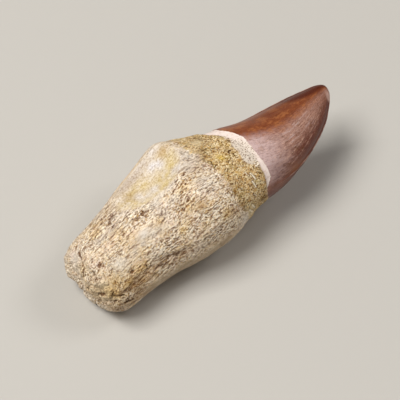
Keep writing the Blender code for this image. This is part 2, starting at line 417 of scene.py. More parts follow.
# Fine lines: cuts in the bone, pale slivers in the crust, scratches on the crown. Each row is the mm along
# and the degrees around of its start, the same of its end, half its width in mm and its strength.
surfaceCuts = {
    "cut": [
        (3.3, 62.5, 1.2, 77, 0.26, 1.1), (5, 47.5, 4, 49.5, 0.24, 1.1), (0.4, 149, 0.1, 153, 0.25, 1.1),
        (1.8, 167, 1.2, 171, 0.22, 1), (1.9, 148.6, 1.5, 151.6, 0.2, 0.8), (0.8, 84, 0.4, 88, 0.18, 0.9),
        (40.3, 77.5, 39.2, 79.5, 0.15, 0.9), (4, 101, 3.5, 103.5, 0.22, 1.4),
        (4.3, 105.6, 4.2, 106.8, 0.17, 1.2), (1.7, 101, 1.2, 105, 0.16, 0.7),
        (1.2, 114.5, 1.1, 116, 0.19, 0.7), (23.2, 96.6, 21.4, 94.8, 0.22, 0.8),
        (19.4, 93.6, 17.9, 92, 0.22, 0.8), (33.4, 96.5, 32.8, 97, 0.22, 0.8),
        (35.8, 95.5, 34.9, 98, 0.17, 1), (33, 100.2, 32, 101.2, 0.15, 1),
        (28.2, 103, 27.2, 102.7, 0.13, 0.4), (31.2, 101.8, 29.8, 102.6, 0.13, 0.9),
        (21.8, 94.2, 21.3, 95.2, 0.29, 1.3), (19.6, 93.4, 19, 93.8, 0.24, 1.2),
        (14.4, 70.4, 13.6, 69.8, 0.18, 1), (14.2, 95.8, 13.6, 96.2, 0.18, 0.9),
        (10.6, 80.6, 10.2, 81.4, 0.17, 0.9), (14.2, 79, 13, 78, 0.17, 0.8), (17.4, 66, 14.6, 64, 0.19, 0.9),
        (20.2, 72, 18.4, 69, 0.25, 1), (15.6, 55, 13.8, 52, 0.25, 1), (9, 138.4, 8.5, 138, 0.27, 1.2),
        (1.6, 103, 1.2, 104.6, 0.18, 1), (1.2, 113.2, 1, 114.4, 0.18, 1), (13, 145.2, 12.8, 145, 0.16, 0.9),
        (5.6, 178, 3.6, 176, 0.28, 1), (4, 160, 2.2, 157, 0.22, 0.8), (13.8, 150.6, 12.4, 150, 0.19, 0.6),
        (30, 162, 28.8, 161.6, 0.19, 0.7), (9, 300, 6, 298, 0.24, 0.9), (24, 312, 20.5, 313.4, 0.24, 0.9),
        (36, 270, 34, 268.8, 0.22, 0.8),
    ],
    "sliver": [
        (49.4, 126, 49.9, 135, 0.16, 1), (48.9, 136, 49.2, 145, 0.16, 1), (48.3, 122, 48.7, 129, 0.13, 0.8),
        (46.8, 167, 47.4, 178, 0.18, 1), (45.6, 171, 46.4, 181, 0.18, 1), (47.6, 112, 48.6, 114, 0.12, 0.8),
        (45.2, 84, 46.2, 87, 0.12, 0.7), (44.8, 137, 45.9, 139, 0.12, 0.8), (47.2, 100, 47, 105, 0.12, 0.7),
        (47.8, 152, 48.6, 158, 0.13, 0.8), (46, 240, 47.2, 244, 0.16, 0.8), (44, 20, 45.2, 24, 0.16, 0.8),
    ],
    "scratch": [
        (56, 131, 65, 117, 0.1, 1), (57, 113, 62.5, 106, 0.09, 0.8), (59, 140, 67.5, 128, 0.09, 0.8),
        (62, 98, 69, 96, 0.08, 0.6), (67, 120, 74, 116, 0.09, 0.7), (55.5, 152, 60, 149, 0.09, 0.6),
        (58, 230, 66, 236, 0.1, 0.8), (60, 290, 70, 284, 0.1, 0.8), (57, 320, 63, 312, 0.09, 0.6),
    ],
}


def markMask(marks, along, around, radius):
    mask = np.zeros(np.broadcast(along, around).shape)
    for markAlong, markAround, length, width, strength in marks:
        sideways = np.radians(turned(around - markAround)) * radius
        away = ((along - markAlong) / length) ** 2 + (sideways / width) ** 2
        mask = np.maximum(mask, strength * np.exp(-away))
    return mask


def cutMask(cuts, along, around, radius):
    # 1 in the middle of each cut, falling to 0 at three times its half width
    mask = np.zeros(np.broadcast(along, around).shape)
    for startAlong, startAround, endAlong, endAround, halfWidth, strength in cuts:
        sideways = np.radians(turned(around - startAround)) * radius
        runAlong = endAlong - startAlong
        runSideways = np.radians(endAround - startAround) * radius
        share = np.clip(((along - startAlong) * runAlong + sideways * runSideways)
                        / (runAlong ** 2 + runSideways ** 2), 0, 1)
        away = np.hypot(along - startAlong - share * runAlong, sideways - share * runSideways)
        mask = np.maximum(mask, strength * (1 - softStep(away, 0, 3 * halfWidth)))
    return mask


def bandMask(band, along, around, radius):
    # a soft band that wanders along the root
    lineAlong, lineAround = np.array(band["line"], float).T
    before, here, after = (np.interp(along + step, lineAlong, lineAround) for step in (-2, 0, 2))
    middle = (before + here + after) / 3
    sideways = np.radians(turned(around - middle)) * radius
    ends = softStep(along, -1, 3) * (1 - softStep(along, lineAlong[-1] - 6, lineAlong[-1]))
    return np.exp(-(sideways / band["halfWidth"]) ** 2) * ends


def trimRise(form, along, around):
    # small corrections to the outline, fading out round the tooth
    places, farSide, nearSide = np.array(form["trim"], float).T
    nearRoot, nearCrown = form["nearSide"]
    nearAround = nearRoot + (nearCrown - nearRoot) * softStep(along, 48, 60)
    rise = np.zeros(along.shape)
    for values, centre in ((farSide, form["farSide"]), (nearSide, nearAround)):
        away = np.clip(abs(turned(around - centre)) / form["trimSpread"], 0, 1)
        level = (np.interp(along - 0.7, places, values) + np.interp(along + 0.7, places, values)) / 2
        rise += level * (1 + np.cos(math.pi * away)) / 2
    return rise


def surfaceNormals(points):
    alongStep = np.gradient(points, axis=0)
    aroundStep = np.roll(points, -1, 1) - np.roll(points, 1, 1)
    normals = np.cross(aroundStep, alongStep)
    return normals / (np.linalg.norm(normals, axis=2)[..., None] + 1e-12)


def carveDish(dish, points):
    # presses the shallow oval dish into the points, along the way that it faces
    facing = np.array(dish["facing"])
    facing /= np.linalg.norm(facing)
    lengthways = np.array([1.0, 0, 0]) - facing[0] * facing
    lengthways /= np.linalg.norm(lengthways)
    crossways = np.cross(facing, lengthways)
    reach = points - np.array([dish["along"], dish["side"], dish["up"]])
    out = reach @ facing
    spread = np.hypot(reach @ lengthways / (dish["length"] / 2), reach @ crossways / (dish["width"] / 2))
    floor = -dish["depth"] * (1 - spread ** 2)
    topSide = out > -dish["reach"]
    soft = 0.5 * (out + floor - np.sqrt((out - floor) ** 2 + dish["softness"] ** 2))
    pressed = np.where(topSide & (spread < 1.5), soft, out)
    inside = np.where(topSide, out - floor, -5)
    return points + (pressed - out)[..., None] * facing, inside


def toothGrid(form):
    controls = controlRows(form)
    rows = splineRows(controls, evenPlaces(form, controls))
    around = np.arange(form["ringPoints"]) * 360 / form["ringPoints"]
    points, across, above = ringsAt(rows, np.radians(around))
    plainBox = points.reshape(-1, 3).min(0), points.reshape(-1, 3).max(0)
    along = rows[:, :1] * np.ones_like(across)
    around = around[None] * np.ones_like(across)
    radius = np.sqrt(rows[:, 3:4] * rows[:, 4:5]) * np.ones_like(across)
    where = (along, around, radius)
    zones = {
        "enamelLine": along - closedCurve(form["enamelEdge"], around),
        "collarLine": along - closedCurve(form["collarFoot"], around),
        "crustLine": np.minimum(along - closedCurve(form["crustFoot"], around),
                                closedCurve(form["crustTop"], around) - along),
        "groove": np.maximum(bandMask(form["groove"], *where), bandMask(form["farGroove"], *where)),
    }
    for name, marks in surfaceMarks.items():
        zones[name + "Mark"] = markMask(marks, *where)
    for name, cuts in surfaceCuts.items():
        zones[name + "Mark"] = cutMask(cuts, *where)

    # bare, close-grained bone: the band under the groove, the ridge, the chip on the rim, beside the dish
    under = softStep(turned(around - 178), -6, 8) * (1 - softStep(turned(around - 205), -6, 14))
    zones["underBand"] = under * softStep(along, 5, 12) * (1 - softStep(along, 36, 44))
    chip = markMask([form["chip"]["place"]], *where)
    crest = markMask([form["ridge"]["place"]], *where)
    shore = markMask(form["dishShore"], *where)
    zones["closeGrain"] = np.maximum.reduce([zones["underBand"], 0.4 * chip, 0.8 * crest, shore])

    # crown: the two cutting edges, and the faint flat faces between them
    carina = form["carina"]
    farEdge, nearEdge = carina["around"]
    edgeAway = np.radians(np.minimum(abs(turned(around - farEdge)), abs(turned(around - nearEdge)))) * radius
    onCrown = softStep(zones["enamelLine"], 0.5, 6)
    toTip = form["crownEnd"] - along
    zones["edgeAway"] = edgeAway
    faceting = abs(np.cos(np.radians(around) * form["facets"]["count"] / 2)) * 2 - 1

    rise = trimRise(form, along, around)
    rise -= form["groove"]["depth"] * zones["groove"]
    rise += form["ridge"]["height"] * crest
    rise -= form["chip"]["depth"] * chip
    edgeRise = carina["height"] * np.exp(-(edgeAway / carina["halfWidth"]) ** 2)
    rise += edgeRise * onCrown * softStep(toTip, 0.5, 3)
    rise += form["facets"]["depth"] * faceting * onCrown * softStep(toTip, 3, 12)
    rise += form["crustRise"] * softStep(zones["crustLine"], -0.3, 1.2)
    belowEnamel = 1 - softStep(zones["enamelLine"], -0.3, 0.1)
    rise -= form["collarSink"] * softStep(zones["collarLine"], -0.4, 0.4) * belowEnamel
    points = points + rise[..., None] * surfaceNormals(points)
    points[..., 0] += form["endWear"] * (1 - softStep(along, 0, 4))

    points, zones["dishLine"] = carveDish(form["dish"], points)
    zones["closeGrain"] = np.maximum(zones["closeGrain"], softStep(zones["dishLine"], -0.08, 0.18))
    straight = np.stack([along, across, above], -1)
    grain = np.stack([along + np.minimum(along, 6) + softStep(along, 6, 10), across, above], -1)
    turn = np.radians(around)
    meridian = np.stack([along, 8 * np.cos(turn), 8 * np.sin(turn)], -1)
    return points, zones, {"straight": straight, "grain": grain, "meridian": meridian}, plainBox


def gridMesh(name, points, zones, vectors):
    # quads between the rings, a fan of triangles at each end
    rings, count = points.shape[:2]
    corners = np.arange(rings * count).reshape(rings, count)
    nextCorner = np.roll(corners, -1, 1)
    quads = np.stack([corners[:-1], nextCorner[:-1], nextCorner[1:], corners[1:]], -1).reshape(-1, 4)
    startPole, endPole = rings * count, rings * count + 1
    faces = quads.tolist()
    startEdges, endEdges = (zip(corners[ring].tolist(), nextCorner[ring].tolist()) for ring in (0, -1))
    faces += [(startPole, second, first) for first, second in startEdges]
    faces += [(endPole, first, second) for first, second in endEdges]

    def withPoles(grid):
        return np.vstack([grid.reshape(rings * count, -1), grid[0].mean(0), grid[-1].mean(0)])

    mesh = bpy.data.meshes.new(name)
    mesh.from_pydata((withPoles(points) * mm).tolist(), [], faces)
    for zone, grid in zones.items():
        mesh.attributes.new(zone, "FLOAT", "POINT").data.foreach_set(
            "value", withPoles(grid[..., None]).ravel().astype(np.float32))
    for vector, grid in vectors.items():
        mesh.attributes.new(vector, "FLOAT_VECTOR", "POINT").data.foreach_set(
            "vector", withPoles(grid).ravel().astype(np.float32))
    mesh.shade_smooth()
    mesh.update()
    return mesh


points, zones, places, plainBox = toothGrid(toothForm)
# the solid's box is centred over the origin, so the skin is moved by the same amount
cadLow, cadHigh = (np.array(corner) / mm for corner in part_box("tooth"))
points[..., :2] += ((cadLow + cadHigh) / 2 - (plainBox[0] + plainBox[1]) / 2)[:2]
points[..., 2] = np.maximum(points[..., 2], 0)
skinMesh = gridMesh("toothSkin", points, zones, places)
toothSkin = linkedObject("toothSkin", skinMesh)
print("tooth form:", len(skinMesh.vertices), "points")


# Relief: the same patterns carve the skin and colour it.
reliefSettings = {
    "Pit Depth": 0.06,  # mm
    "Pore Depth": 0.09,
    "Furrow Depth": 0.26,
    "Pore Spacing": 0.58,
    "Lump Height": 0.30,
    "Chip Depth": 0.50,
    "Knob Depth": 0.85,
    "Crust Grain": 0.10,
    "Cut Depth": 0.45,
    "Seed": 7,
}

# each zone: the line that it starts from, how ragged its edge is, and the mm where it starts and is full
zoneEdges = {
    "enamel": ("enamelLine", 0.9, -0.10, 0.10),
    "collar": ("collarLine", 0.9, -0.15, 0.25),
    "crust": ("crustLine", 3.2, -0.10, 0.45),
    "dish": ("dishLine", 0.45, -0.05, 0.20),
    "dishTint": ("dishLine", 1.2, -0.08, 0.30),
}

# each pattern: how it is squeezed along the tooth, then waves to the mm, detail, roughness, distortion
patterns = {
    "pits": (0.24, 0.90, 3.0, 0.62, 0.3),
    "furrows": (0.13, 0.72, 2.0, 0.55),
    "rough patches": (0.5, 0.24, 2.0, 0.5),
    "ragged cuts": (0.8, 2.2, 2.0),
    "dot clumps": (0.4, 0.8, 3.0, 0.6),
    "weave": (0.42, 3.1, 2.0, 0.8),
    "slits": (0.16, 2.1, 2.0, 0.6),
    "streaks": (0.05, 2.6, 3.0, 0.7),
    "lumps": (0.5, 0.22, 2.0),
    "chips": (1.0, 0.42, 3.0, 0.6),
    "crust crumbs": (0.9, 1.25, 3.0, 0.65),
    "tan drift": (0.5, 0.20, 4.0, 0.6),
    "rose flush": (0.6, 0.40, 4.0, 0.65),
    "bone rust": (0.6, 0.55, 5.0, 0.7),
    "olive drift": (1.0, 0.30, 4.0, 0.65),
    "crust rust": (1.0, 0.7, 4.0, 0.7),
    "enamel streaks": (0.12, 1.9, 4.0, 0.75),
    "enamel mottle": (0.6, 0.6, 5.0, 0.7),
    "enamel crumbs": (0.4, 3.2, 3.0, 0.85),
    "collar grain": (0.5, 2.6, 4.0, 0.7),
}

# cells to the mm, and how those of the bone and the crust are squeezed along the tooth
cellSettings = {
    "fibres": 4.5,
    "dots": 3.7,
    "crust": 3.8,
    "crustGrit": 3.2,
    "knobs": 0.42,
    "dishSpecks": 1.7,
    "collarSpecks": 2.6,
    "poreSqueeze": 0.38,
    "fibreSqueeze": 0.34,
    "crustSqueeze": 0.7,
}


def pattern(name, place, shift):
    lengthwise, *waves = patterns[name]
    return noise(placed(place, lengthwise, shift), *waves)


def swaying(place, amount):
    # a vector that bends rows of cells out of line
    return vectorCalc("MULTIPLY", noise(place, 1.3, output="Color"), (amount,) * 3)


def bentCells(place, squeeze, shift, sway, scale):
    return cells(vectorCalc("ADD", placed(place, squeeze, shift), sway), scale)


def zoneMasks(straight):
    # edges of the enamel, collar, crust and dish, made ragged by a little noise
    wander = centred(noise(straight, 0.55, 3.0, 0.6))
    masks = {zone: fade(total(attribute(line), product(wander, ragged)), start, full)
             for zone, (line, ragged, start, full) in zoneEdges.items()}
    offEnamel = inverse(masks["enamel"])
    masks["collar"] = product(masks["collar"], offEnamel)
    masks["crust"] = product(masks["crust"], offEnamel, inverse(masks["collar"]))
    covered = calc("MAXIMUM", calc("MAXIMUM", masks["enamel"], masks["collar"]), masks["crust"])
    masks["bone"] = inverse(covered)
    return masks


def bonePatterns(grain, spacing, shift):
    # pits follow the grain of the root, and look round where the grain comes up end on
    sway = swaying(grain, 0.6)
    pores = bentCells(grain, cellSettings["poreSqueeze"], shift, sway, calc("DIVIDE", 1.0, spacing))
    poreSize = fade(axes(pores["Color"])[0], 0.25, 1.0, 0.06, 0.30)
    patchy = pattern("rough patches", grain, shift)
    coarse = total(fade(patchy, 0.36, 0.60, 0.45, 1.0), mark("harsh", 0.6))
    ragged = centred(pattern("ragged cuts", grain, shift))
    return {
        "pits": pattern("pits", grain, shift),
        "pores": spots(pores["Distance"], poreSize, 0.10),
        "cuts": fade(total(mark("cut"), product(ragged, 1.9)), 0.45, 0.80),
        "sway": sway,
        "furrows": pattern("furrows", grain, shift),
        "lined": total(mark("furrowed", 0.8), 0.2),
        "coarse": product(coarse, inverse(mark("calm", 0.75))),
    }


def knobPattern(straight, shift):
    # 0 in the middle of each knob of the broken end, rising towards its edge
    return cells(placed(straight, 1.0, shift), cellSettings["knobs"])["Distance"]


def fibrePatterns(straight, grain, sway, shift):
    # short fibres packed side by side, each with a tone and a hue of its own, the dark dots of fine pores
    # between them, the crumbs on them, long slits
    squeeze = cellSettings["fibreSqueeze"]
    fibres = bentCells(grain, squeeze, shift, sway, cellSettings["fibres"])
    tone, hue, _ = axes(fibres["Color"])
    dots = bentCells(grain, squeeze, (7.0, 7.0, 7.0), sway, cellSettings["dots"])
    dotSize = fade(axes(dots["Color"])[0], 0.1, 1.0, 0.05, 0.38)
    clumps = fade(pattern("dot clumps", grain, (17.0, 3.0, 29.0)), 0.40, 0.60, 0.5, 1.0)
    return {
        "round": fibres["Distance"],
        "tone": tone,
        "hue": hue,
        "dots": product(spots(dots["Distance"], dotSize, 0.12), clumps),
        "weave": pattern("weave", grain, shift),
        "slits": pattern("slits", straight, shift),
        "streaks": pattern("streaks", straight, shift),
        "sway": centred(axes(sway)[0], 0.45),
        "knobs": knobPattern(straight, shift),
    }


def seedVector(seed):
    # moves a pattern to another part of the noise for each seed
    steps = (3.1, 5.7, 9.3)
    if isinstance(seed, bpy.types.NodeSocket):
        parts = [calc("MULTIPLY", seed, step) for step in steps]
        return newNode("ShaderNodeCombineXYZ", parts).outputs[0]
    return tuple(step * seed for step in steps)


def newGeometryTree(name, settings):
    tree = bpy.data.node_groups.new(name, "GeometryNodeTree")
    opened["tree"] = tree
    tree.interface.new_socket("Geometry", in_out="INPUT", socket_type="NodeSocketGeometry")
    tree.interface.new_socket("Geometry", in_out="OUTPUT", socket_type="NodeSocketGeometry")
    for label, value in settings.items():
        kind = {int: "NodeSocketInt", float: "NodeSocketFloat"}.get(type(value), "NodeSocketMaterial")
        tree.interface.new_socket(label, in_out="INPUT", socket_type=kind)
    return tree, newNode("NodeGroupInput").outputs


def closeGeometryTree(geometry, material):
    realized = newNode("GeometryNodeRealizeInstances", (geometry,)).outputs[0]
    dressed = newNode("GeometryNodeSetMaterial", {"Geometry": realized, "Material": material})
    newNode("NodeGroupOutput", (dressed.outputs[0],))


def runGeometryTree(piece, tree, settings, name):
    # the tree's result as a plain mesh on a new object
    modifier = piece.modifiers.new(tree.name, "NODES")
    modifier.node_group = tree
    for item in tree.interface.items_tree:
        if item.in_out == "INPUT" and item.name in settings:
            modifier[item.identifier] = settings[item.name]
    evaluated = piece.evaluated_get(bpy.context.evaluated_depsgraph_get())
    mesh = bpy.data.meshes.new_from_object(evaluated)
    mesh.name = name
    piece.modifiers.remove(modifier)
    return linkedObject(name, mesh)


def reliefTree(settings):
    tree, given = newGeometryTree("toothRelief", settings)
    straight = attribute("straight", "FLOAT_VECTOR")
    shift = seedVector(given["Seed"])
    masks = zoneMasks(straight)
    bone = bonePatterns(attribute("grain", "FLOAT_VECTOR"), given["Pore Spacing"], shift)
    along = axes(straight)[0]
    loose = inverse(product(attribute("closeGrain"), 0.9))
    pitting = product(masks["bone"], loose)
    deep = product(pitting, bone["coarse"], fade(along, 14.0, 27.0, 1.0, 0.45))
    nearBreak = fade(along, 5.0, 0.6)  # the broken end is chipped into steps and knobs
    chips = fade(pattern("chips", straight, shift), 0.42, 0.58)
    knobs = centred(knobPattern(straight, shift), 0.45)
    lumps = centred(pattern("lumps", straight, shift))
    crumbs = centred(pattern("crust crumbs", straight, shift))
    rise = total(product(lumps, given["Lump Height"], inverse(masks["enamel"]), 2.0),
                 product(crumbs, given["Crust Grain"], masks["crust"], 4.0))
    furrows = fade(bone["furrows"], 0.56, 0.36)
    drops = (
        product(fade(bone["pits"], 0.50, 0.32), given["Pit Depth"], deep),
        product(bone["pores"], given["Pore Depth"], deep),
        product(furrows, given["Furrow Depth"], pitting, bone["lined"]),
        product(bone["cuts"], given["Cut Depth"]),
        product(chips, given["Chip Depth"], nearBreak),
        product(knobs, given["Knob Depth"], nearBreak),
    )
    for drop in drops:
        rise = calc("SUBTRACT", rise, drop)
    normal = newNode("GeometryNodeInputNormal").outputs[0]
    offset = scaled(normal, product(rise, mm))
    carved = newNode("GeometryNodeSetPosition", {"Geometry": given["Geometry"], "Offset": offset})
    # nothing goes below the table
    position = newNode("GeometryNodeInputPosition").outputs[0]
    level = vectorCalc("MAXIMUM", position, (-1.0, -1.0, 0.0))
    resting = newNode("GeometryNodeSetPosition", {"Geometry": carved.outputs[0], "Position": level})
    closeGeometryTree(resting.outputs[0], given["Material"])
    return tree


# Finishes, as screen colours. The tones named in soakingTones darken what they lie on.
boneFinish = {
    "cream": "f2dbb8",
    "tan": "eacc96",
    "rose": "eacab6",
    "ochre": "cba557",
    "yellow": "cfb878",
    "pink": "efd7d6",
    "pale": "e5dcd0",
    "milk": "e4e3ec",
    "lilac": "e0cdc6",
    "gilt": "f8e8bf",
    "slate": "b9a68c",
    "light": "fff4e0",
    "honey": "dfbb78",
    "brown": "937050",
    "dish": "d6c5a3",
    "soak": "b5986c",
    "hollow": "86633c",
    "pore": "5f3e1e",
}
collarFinish = {"skin": "ecdcd3", "shade": "c3a48f", "bone": "e0d3c4", "hollow": "86633c"}
crustFinish = {"sand": "d4b684", "olive": "b7a068", "light": "f6e6c0", "gold": "d9ae5e", "amber": "c98f3c",
               "spot": "dab42c", "shell": "fff6e2", "soak": "a88f68", "dim": "8b7150"}
enamelFinish = {"red": "7c4024", "orange": "985c35", "dusk": "501a05", "bloom": "a37e70", "rim": "dcb09c",
                "foot": "cfb7b6", "russet": "622512", "ember": "764a1e", "soak": "b8a49a", "facet": "c9a598"}


def boneColour(straight, bone, fibres, masks):
    drift = pattern("tan drift", straight, (11.0, 3.0, 5.0))
    flush = pattern("rose flush", straight, (1.0, 31.0, 7.0))
    rust = pattern("bone rust", straight, (5.0, 2.0, 41.0))
    stain = calc("MAXIMUM", fade(rust, 0.53, 0.66, 0.0, 0.75), product(mark("ochre"), fade(rust, 0.3, 0.55)))
    broken = fade(axes(straight)[0], 3.6, 0.4)
    unstained = inverse(total(mark("brown"), mark("pink")))
    lip = fade(total(attribute("dishLine"), product(fibres["sway"], 1.6)), -1.3, -0.3)
    lip = product(lip, inverse(masks["dishTint"]))
    # the grain of the bone, quieter where it is close-grained
    closeGrain = attribute("closeGrain")
    close = calc("MAXIMUM", closeGrain, product(lip, 0.3))
    loose = inverse(product(close, 0.8))
    coarse = calc("MINIMUM", bone["coarse"], 1.2)
    quiet = product(loose, fade(coarse, 0.0, 1.2, 0.35, 1.15), inverse(mark("pale", 0.25)))
    valley = product(fade(bone["furrows"], 0.50, 0.36), bone["lined"], loose)
    crestLine = product(fade(bone["furrows"], 0.54, 0.66), bone["lined"], loose)
    slits = calc("SUBTRACT", fibres["slits"], product(bone["lined"], 0.05))
    combed = product(fade(fibres["streaks"], 0.50, 0.36), bone["lined"], loose)
    dotted = product(fibres["dots"], loose, fade(coarse, 0.0, 0.6, 0.4, 1.0))
    return layered(boneFinish, "cream", [
        ("tan", fade(drift, 0.42, 0.62, 0.0, 0.8)),
        ("rose", fade(flush, 0.48, 0.62, 0.0, 0.7)),
        ("ochre", stain),
        ("pink", mark("pink", 0.9)),
        ("pale", mark("pale")),
        ("yellow", mark("yellow", 0.6)),
        ("brown", mark("brown", 0.5)),
        ("slate", attribute("underBand")),
        ("light", broken, unstained, 0.8),
        ("soak", fade(fibres["knobs"], 0.50, 0.80), broken, 0.35),
        ("pale", lip, 0.8),
        ("hollow", valley, 0.6),
        ("light", crestLine, 0.45),
        ("honey", fade(fibres["hue"], 0.45, 0.9, 0.0, 0.75), quiet),
        ("lilac", fade(fibres["hue"], 0.42, 0.1, 0.0, 0.65), quiet),
        ("light", fade(fibres["tone"], 0.48, 0.75), quiet),
        ("hollow", fade(fibres["tone"], 0.36, 0.14, 0.0, 0.85), quiet),
        ("soak", fade(fibres["weave"], 0.47, 0.36), quiet),
        ("light", fade(fibres["weave"], 0.50, 0.62, 0.0, 0.9), quiet),
        ("hollow", fade(slits, 0.43, 0.34, 0.0, 0.8), loose),
        ("soak", combed, 0.6),
        ("soak", fade(fibres["streaks"], 0.50, 0.35), closeGrain, 0.8),
        ("soak", fade(bone["pits"], 0.42, 0.32, 0.0, 0.2), loose, coarse),
        ("hollow", bone["pores"], loose, coarse, 0.25),
        ("pore", dotted),
        ("hollow", attribute("groove"), fade(bone["pits"], 0.52, 0.40), 0.8),
        ("pale", mark("pale", 0.3)),
        ("soak", mark("shade")),
        ("gilt", mark("ochre")),
        ("hollow", bone["cuts"], 0.85),
    ])


def dishColour(straight, bone, fibres):
    cloud = noise(straight, 0.40, 5.0, 0.65)
    dust = noise(straight, 2.6, 3.0, 0.8)
    specks = fade(cells(straight, cellSettings["dishSpecks"])["Distance"], 0.26, 0.10)
    rimward = fade(attribute("dishLine"), 0.9, 0.1, 0.1, 0.8)
    return layered(boneFinish, "dish", [
        ("pale", fade(cloud, 0.46, 0.64, 0.0, 0.8)),
        ("yellow", mark("yellow"), fade(cloud, 0.75, 0.45)),
        ("milk", mark("pale")),
        ("ochre", mark("ochre", 0.5)),
        ("light", fade(dust, 0.52, 0.64, 0.0, 0.45)),
        ("soak", fade(dust, 0.48, 0.38, 0.0, 0.75)),
        ("soak", fade(fibres["tone"], 0.36, 0.0, 0.0, 0.4)),
        ("hollow", specks, rimward),
        ("soak", mark("shade")),
        ("hollow", bone["pores"], 0.3),
    ])


def crustColour(straight):
    drift = pattern("olive drift", straight, (2.0, 13.0, 5.0))
    rust = pattern("crust rust", straight, (21.0, 3.0, 15.0))
    crumb = noise(straight, 2.8, 2.0, 0.8)
    clods = bentCells(straight, cellSettings["crustSqueeze"], (4.0, 4.0, 4.0), swaying(straight, 0.8),
                      cellSettings["crust"])
    tone, hue, _ = axes(clods["Color"])
    # a damp-looking line where the crust thins out on the bone
    thin = product(fade(attribute("crustLine"), 1.4, 0.2), fade(drift, 0.35, 0.55))
    sliver = total(mark("sliver"), product(centred(crumb), 1.6))
    colour = layered(crustFinish, "sand", [
        ("olive", fade(drift, 0.45, 0.60, 0.0, 0.8)),
        ("gold", fade(rust, 0.50, 0.66, 0.0, 0.8)),
        ("amber", fade(hue, 0.5, 0.9, 0.0, 0.5)),
        ("light", fade(tone, 0.55, 0.85, 0.0, 0.8)),
        ("dim", fade(tone, 0.34, 0.08)),
        ("soak", fade(crumb, 0.48, 0.36)),
        ("spot", mark("yellow"), fade(crumb, 0.35, 0.60, 0.2, 0.9)),
        ("soak", mark("brown")),
        ("dim", thin, 0.35),
        ("soak", mark("shade", 0.8)),
        ("soak", fade(sliver, 0.15, 0.40, 0.0, 0.6)),
        ("shell", fade(sliver, 0.50, 0.85, 0.0, 0.9)),
        ("light", mark("pale", 0.6)),
    ])
    return colour, crumb


def enamelColour(meridian):
    streak = pattern("enamel streaks", meridian, (0.0, 4.0, 9.0))
    mottle = pattern("enamel mottle", meridian, (8.0, 4.0, 9.0))
    crumb = pattern("enamel crumbs", meridian, (3.0, 1.0, 2.0))
    across = axes(meridian)[1]  # 8 on the far edge, -8 on the near one
    upward = attribute("enamelLine")
    ragged = calc("ADD", across, product(centred(mottle), 4.0))
    raggedLow = total(ragged, fade(upward, 12.0, 2.0, 0.0, 2.6))
    raggedHigh = total(ragged, fade(upward, 18.0, 26.0, 0.0, 4.0))
    # a pale pink-grey band down the middle of the crown's facing side, partly the enamel's own colour and
    # partly a painted highlight
    bloom = product(fade(ragged, 3.6, -0.4), fade(raggedLow, -7.4, -2.4),
                    fade(upward, 16.0, 25.0, 1.0, 0.65))
    footward = product(fade(upward, 9.0, 0.0), fade(ragged, 3.6, 0.2))
    scratch = product(mark("scratch"), fade(crumb, 0.38, 0.55))
    edgeGlint = product(fade(mottle, 0.40, 0.62, 0.0, 0.7), fade(upward, 4.0, 9.0))
    colour = layered(enamelFinish, "red", [
        ("orange", fade(mottle, 0.46, 0.60)),
        ("bloom", bloom, fade(streak, 0.30, 0.70, 0.6, 0.9)),
        ("foot", footward, 0.75),
        # a darker red-brown towards the crown's near edge, partly the enamel's own colour and partly painted
        # shade
        ("russet", fade(raggedLow, -1.6, -6.2, 0.0, 0.95)),
        # painted shade: the crown's far edge darkened, more so towards the tip
        ("dusk", fade(raggedHigh, 5.8, 9.4), fade(upward, 8.0, 24.0, 0.15, 0.95)),
        ("ember", fade(mottle, 0.46, 0.34, 0.0, 0.4)),
        # pale specks inside that band, part of its painted highlight
        ("rim", fade(crumb, 0.52, 0.66, 0.0, 0.4), bloom),
        ("soak", fade(crumb, 0.50, 0.34, 0.0, 0.75)),
        # pale streaks inside that band, part of its painted highlight
        ("foot", fade(streak, 0.55, 0.67, 0.0, 0.42), bloom),
        ("rim", scratch, 0.6),
        ("facet", fade(mark("pink"), 0.15, 0.80, 0.0, 0.9)),
        ("orange", mark("ochre", 0.75)),
        # the brown marks darken the crown, partly stains and partly painted shade
        ("dusk", mark("brown", 0.6)),
        # painted highlight: a pale line along both cutting edges, broken up by mottle
        ("rim", fade(attribute("edgeAway"), 0.45, 0.10), edgeGlint),
    ])
    return colour, streak, crumb


